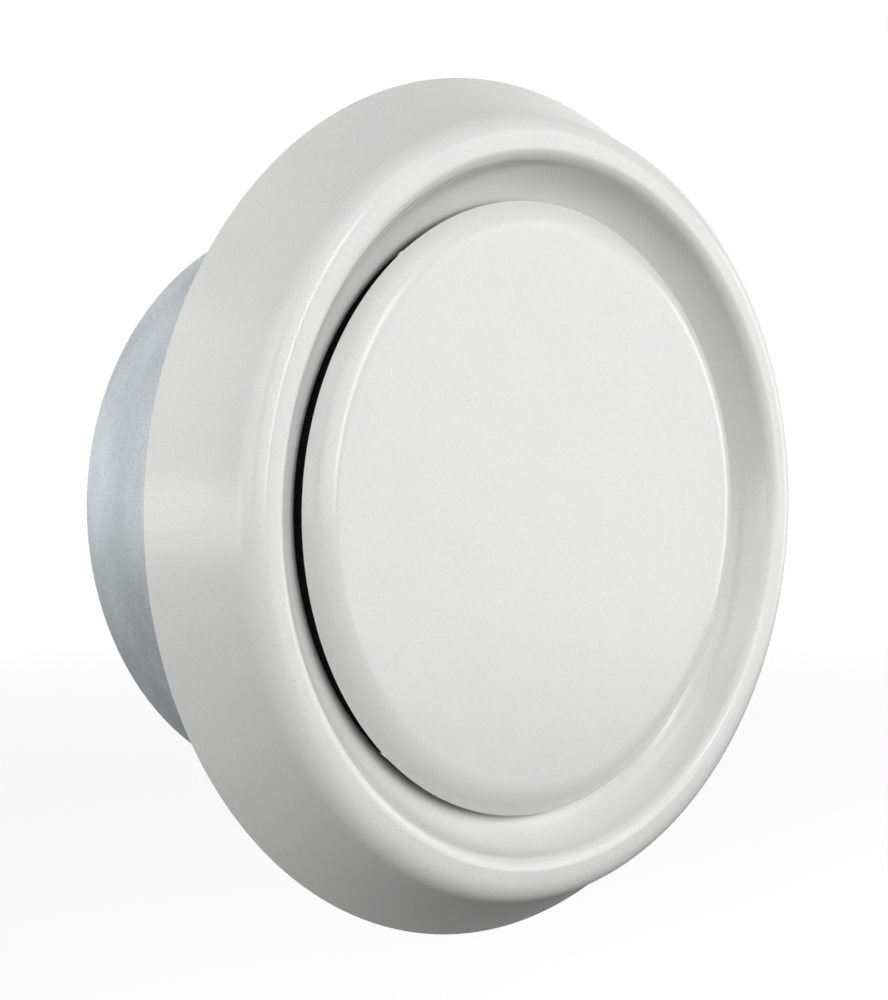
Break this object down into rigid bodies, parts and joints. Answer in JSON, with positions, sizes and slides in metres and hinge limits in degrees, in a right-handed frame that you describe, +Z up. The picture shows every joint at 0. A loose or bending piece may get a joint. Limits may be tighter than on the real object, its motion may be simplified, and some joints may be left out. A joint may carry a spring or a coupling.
{
  "type": "ceiling disc valve air diffuser",
  "caption": "Round ceiling air diffuser: a disc valve whose screw-set disc opens or closes the throat of a flared white rim, on a spring-clipped neck in a duct mounting frame.",
  "frame": {"origin": "on the duct axis, in the ceiling plane against which the rim and the mounting ring lie", "axes": "+Y along the duct axis into the duct, the disc faces -Y into the room, +Z up as in the picture; on a ceiling the part is turned so that -Y points down"},
  "size_m": [0.17, 0.0711, 0.17],
  "materials": {
    "white_paint": "satin white powder coat",
    "galvanised": "smooth galvanised sheet steel",
    "zinc_plate": "bright zinc-plated steel",
    "rivet_steel": "plain steel rivets",
    "spring_steel": "tempered spring steel",
    "foam": "dark closed-cell foam"
  },
  "bodies": {
    "frame_body": {"mounting_sleeve": "galvanised", "mounting_ring": "galvanised"},
    "valve": {"valve_body": "white_paint", "neck_seal": "foam", "bridge": "zinc_plate", "bridge_rivets": "rivet_steel", "bridge_nut": "zinc_plate", "spring_clip_1": "spring_steel", "spring_clip_2": "spring_steel", "spring_clip_3": "spring_steel", "clip_rivets": "rivet_steel"},
    "stop_carriage": {"stop_washer": "zinc_plate"},
    "disc": {"valve_disc": "white_paint", "disc_absorber": "foam", "disc_hub": "zinc_plate", "disc_washer": "zinc_plate", "disc_nut": "zinc_plate", "spindle": "zinc_plate", "stop_clip": "spring_steel"},
    "lock_carriage": {"lock_washer": "zinc_plate"},
    "lock": {"lock_nut": "zinc_plate"}
  },
  "joints": [
    {"name": "valve_pull_out", "type": "slide", "parent": "frame_body", "child": "valve", "axis": [0, -1, 0], "range_m": [0, 0.06]},
    {"name": "disc_travel", "type": "slide", "parent": "valve", "child": "stop_carriage", "axis": [0, -1, 0], "range_m": [-0.0014, 0.018]},
    {"name": "disc_turn", "type": "hinge", "parent": "stop_carriage", "child": "disc", "pos_m": [0, 0, 0], "axis": [0, -1, 0], "range_deg": [-403, 5183]},
    {"name": "lock_nut_travel", "type": "slide", "parent": "valve", "child": "lock_carriage", "axis": [0, 1, 0], "range_m": [0, 0.004]},
    {"name": "lock_nut_turn", "type": "hinge", "parent": "lock_carriage", "child": "lock", "pos_m": [0, 0.012, 0], "axis": [0, 1, 0], "range_deg": [0, 1153]}
  ],
  "couplings": [
    {"joint": "disc_travel", "follows": "disc_turn", "m_per_rad": 0.00019894},
    {"joint": "lock_nut_turn", "follows": "lock_nut_travel", "rad_per_m": 5026.5}
  ]
}
